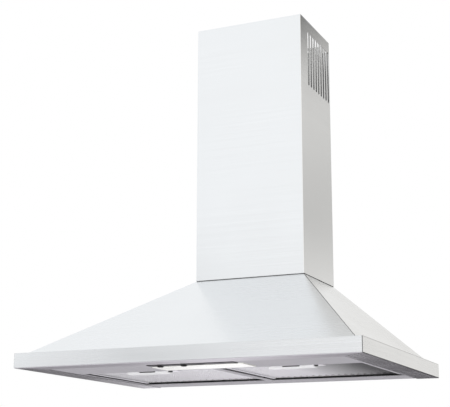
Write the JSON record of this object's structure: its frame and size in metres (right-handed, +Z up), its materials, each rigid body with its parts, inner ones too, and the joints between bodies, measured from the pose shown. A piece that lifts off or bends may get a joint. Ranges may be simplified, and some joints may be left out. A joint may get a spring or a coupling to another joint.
{
  "type": "range hood",
  "caption": "Wall-hung pyramid range hood in brushed steel with a vented telescopic chimney, hinged grease filters, lamp, slide switch and centrifugal blower.",
  "frame": {"origin": "on the wall, midway between the two wall holes of the rear panel", "axes": "+X to the right seen from the room, +Y into the wall, +Z up"},
  "size_m": [0.6, 0.45, 0.673],
  "materials": {
    "steel": "brushed along X, satin",
    "flange_steel": "brushed along X, satin",
    "galvanised": "zinc-coated, dull",
    "fastener": "bright zinc",
    "spring_steel": "bare spring steel",
    "filter_alloy": "bare rolled aluminium",
    "latch_grey": "moulded, metallic grey",
    "reflector": "bright",
    "diffuser": "opal, smooth",
    "lamp_glass": "frosted",
    "lamp_metal": "thin pressed metal",
    "ceramic": "white, matt",
    "black_plastic": "black, fine texture",
    "contact_block": "brown moulding",
    "casing_plastic": "dark grey moulding",
    "rubber": "black rubber",
    "lamination": "stacked sheet iron",
    "bronze": "sintered bronze",
    "capacitor": "white can"
  },
  "bodies": {
    "hood": {"blower_bolts": "fastener", "blower_deck": "galvanised", "blower_pads": "rubber", "blower_screws": "fastener", "cable_gland": "black_plastic", "canopy_front": "steel", "canopy_left": "steel", "canopy_right": "steel", "capacitor": "capacitor", "capacitor_clip": "galvanised", "casing_left": "casing_plastic", "casing_right": "casing_plastic", "chimney_sleeve": "galvanised", "deck_rivets": "fastener", "filter_keeper_left": "spring_steel", "filter_keeper_right": "spring_steel", "flap_rod": "fastener", "hip_strip_left": "galvanised", "hip_strip_right": "galvanised", "lamp_cap": "lamp_metal", "lamp_glass": "lamp_glass", "lamp_holder": "ceramic", "light_tray": "reflector", "motor_bearings": "bronze", "motor_can": "galvanised", "motor_spider": "galvanised", "motor_stator": "lamination", "outlet_adapter": "casing_plastic", "panel_nuts": "fastener", "panel_studs": "fastener", "rear_panel": "galvanised", "switch_bezel": "black_plastic", "switch_contacts": "contact_block", "switch_housing": "black_plastic", "terminal_box": "black_plastic", "terminal_lid": "black_plastic", "underside_panel": "flange_steel"},
    "chimney": {"chimney_cover": "steel", "chimney_bracket": "galvanised"},
    "rotor": {"impeller_hub": "galvanised", "impeller_blades": "galvanised", "impeller_rings": "galvanised", "impeller_nut": "fastener", "motor_shaft": "fastener", "motor_rotor": "lamination"},
    "flap_front": {"flap_front": "black_plastic"},
    "flap_rear": {"flap_rear": "black_plastic"},
    "filter_left": {"filter_frame_left": "filter_alloy", "filter_mesh_left": "filter_alloy", "filter_core_left": "filter_alloy", "filter_spring_left": "spring_steel"},
    "filter_right": {"filter_frame_right": "filter_alloy", "filter_mesh_right": "filter_alloy", "filter_core_right": "filter_alloy", "filter_spring_right": "spring_steel"},
    "latch_left": {"filter_latch_left": "latch_grey"},
    "latch_right": {"filter_latch_right": "latch_grey"},
    "diffuser": {"light_diffuser": "diffuser"},
    "light_knob": {"light_slider": "black_plastic"},
    "speed_knob": {"speed_slider": "black_plastic"}
  },
  "joints": [
    {"name": "chimney_lift", "type": "slide", "parent": "hood", "child": "chimney", "axis": [0, 0, 1], "range_m": [0, 0.3]},
    {"name": "impeller_spin", "type": "hinge", "parent": "hood", "child": "rotor", "pos_m": [0, -0.1037, -0.0025], "axis": [1, 0, 0], "continuous": true},
    {"name": "flap_front_swing", "type": "hinge", "parent": "hood", "child": "flap_front", "pos_m": [0, -0.0718, 0.1512], "axis": [-1, 0, 0], "range_deg": [0, 75]},
    {"name": "flap_rear_swing", "type": "hinge", "parent": "hood", "child": "flap_rear", "pos_m": [0, -0.0718, 0.1512], "axis": [1, 0, 0], "range_deg": [0, 75]},
    {"name": "filter_left_swing", "type": "hinge", "parent": "hood", "child": "filter_left", "pos_m": [-0.131, -0.064, -0.109], "axis": [1, 0, 0], "range_deg": [0, 75], "deforming": ["filter_keeper_left"]},
    {"name": "latch_left_slide", "type": "slide", "parent": "filter_left", "child": "latch_left", "axis": [0, 1, 0], "range_m": [0, 0.007], "stiffness_N_per_m": 300, "springref_m": -0.01, "deforming": ["filter_spring_left"]},
    {"name": "filter_right_swing", "type": "hinge", "parent": "hood", "child": "filter_right", "pos_m": [0.131, -0.064, -0.109], "axis": [1, 0, 0], "range_deg": [0, 75], "deforming": ["filter_keeper_right"]},
    {"name": "latch_right_slide", "type": "slide", "parent": "filter_right", "child": "latch_right", "axis": [0, 1, 0], "range_m": [0, 0.007], "stiffness_N_per_m": 300, "springref_m": -0.01, "deforming": ["filter_spring_right"]},
    {"name": "diffuser_swing", "type": "hinge", "parent": "hood", "child": "diffuser", "pos_m": [0, -0.3267, -0.1085], "axis": [1, 0, 0], "range_deg": [0, 85]},
    {"name": "light_slide", "type": "slide", "parent": "hood", "child": "light_knob", "axis": [1, 0, 0], "range_m": [0, 0.012]},
    {"name": "speed_slide", "type": "slide", "parent": "hood", "child": "speed_knob", "axis": [1, 0, 0], "range_m": [0, 0.036]}
  ]
}
